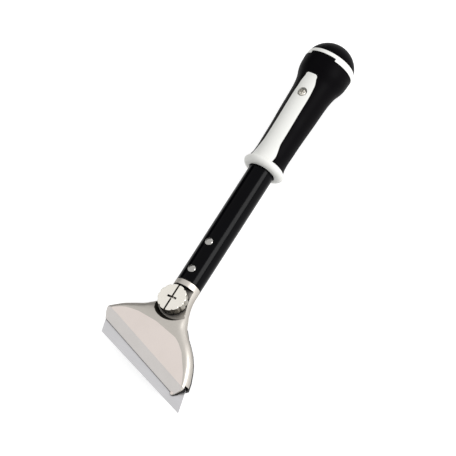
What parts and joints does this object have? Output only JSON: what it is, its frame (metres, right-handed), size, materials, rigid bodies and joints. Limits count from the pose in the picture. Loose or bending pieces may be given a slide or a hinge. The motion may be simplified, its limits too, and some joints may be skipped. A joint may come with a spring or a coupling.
{
  "type": "hand scraper",
  "caption": "Long-handled hand scraper: black tube handle with soft grip, cast fan head with a slotted clamp knob holding a slanted strip blade.",
  "frame": {"origin": "centre of the tool's box in X and Y, at the height of the grip's lowest line, with the tube's axis level 21.7 mm above it", "axes": "+Y along the tube from the blade to the dome, +Z out of the front with the clamp knob and the grip's strip, +X to the tool's right"},
  "size_m": [0.0968, 0.3418, 0.0434],
  "materials": {
    "cast_metal": "satin",
    "blade_steel": "ground",
    "bright_steel": "bright plated",
    "dark_steel": "black oxide",
    "black_paint": "gloss",
    "white_plastic": "satin",
    "black_rubber": "satin",
    "black_plastic": "satin"
  },
  "bodies": {
    "body": {"head_casting": "cast_metal", "handle_tube": "black_paint", "front_rivet": "bright_steel", "rear_rivet": "bright_steel", "handle_core": "white_plastic", "grip_sleeve": "black_rubber", "end_cap": "black_plastic", "handle_screw": "bright_steel", "screw_anchor": "black_plastic", "knob_washer": "bright_steel", "lift_spring": "bright_steel"},
    "clamp": {"clamp_knob": "bright_steel", "clamp_stud": "bright_steel", "stud_retaining_ring": "dark_steel"},
    "jaw": {"rear_jaw": "dark_steel", "jaw_insert": "bright_steel", "blade_stop_pin_left": "bright_steel", "blade_stop_pin_right": "bright_steel"},
    "strip": {"blade": "blade_steel"}
  },
  "joints": [
    {"name": "knob_turn", "type": "hinge", "parent": "body", "child": "clamp", "pos_m": [0.0015, -0.0928, 0.0217], "axis": [0, 0, 1], "range_deg": [0, 720]},
    {"name": "jaw_open", "type": "slide", "parent": "body", "child": "jaw", "axis": [0, 0, -1], "range_m": [0, 0.002], "deforming": ["lift_spring"]},
    {"name": "blade_slide", "type": "slide", "parent": "jaw", "child": "strip", "axis": [-0.3567, -0.9103, -0.2101], "range_m": [0, 0.012]}
  ],
  "couplings": [
    {"joint": "knob_turn", "follows": "jaw_open", "rad_per_m": 6283.2}
  ]
}
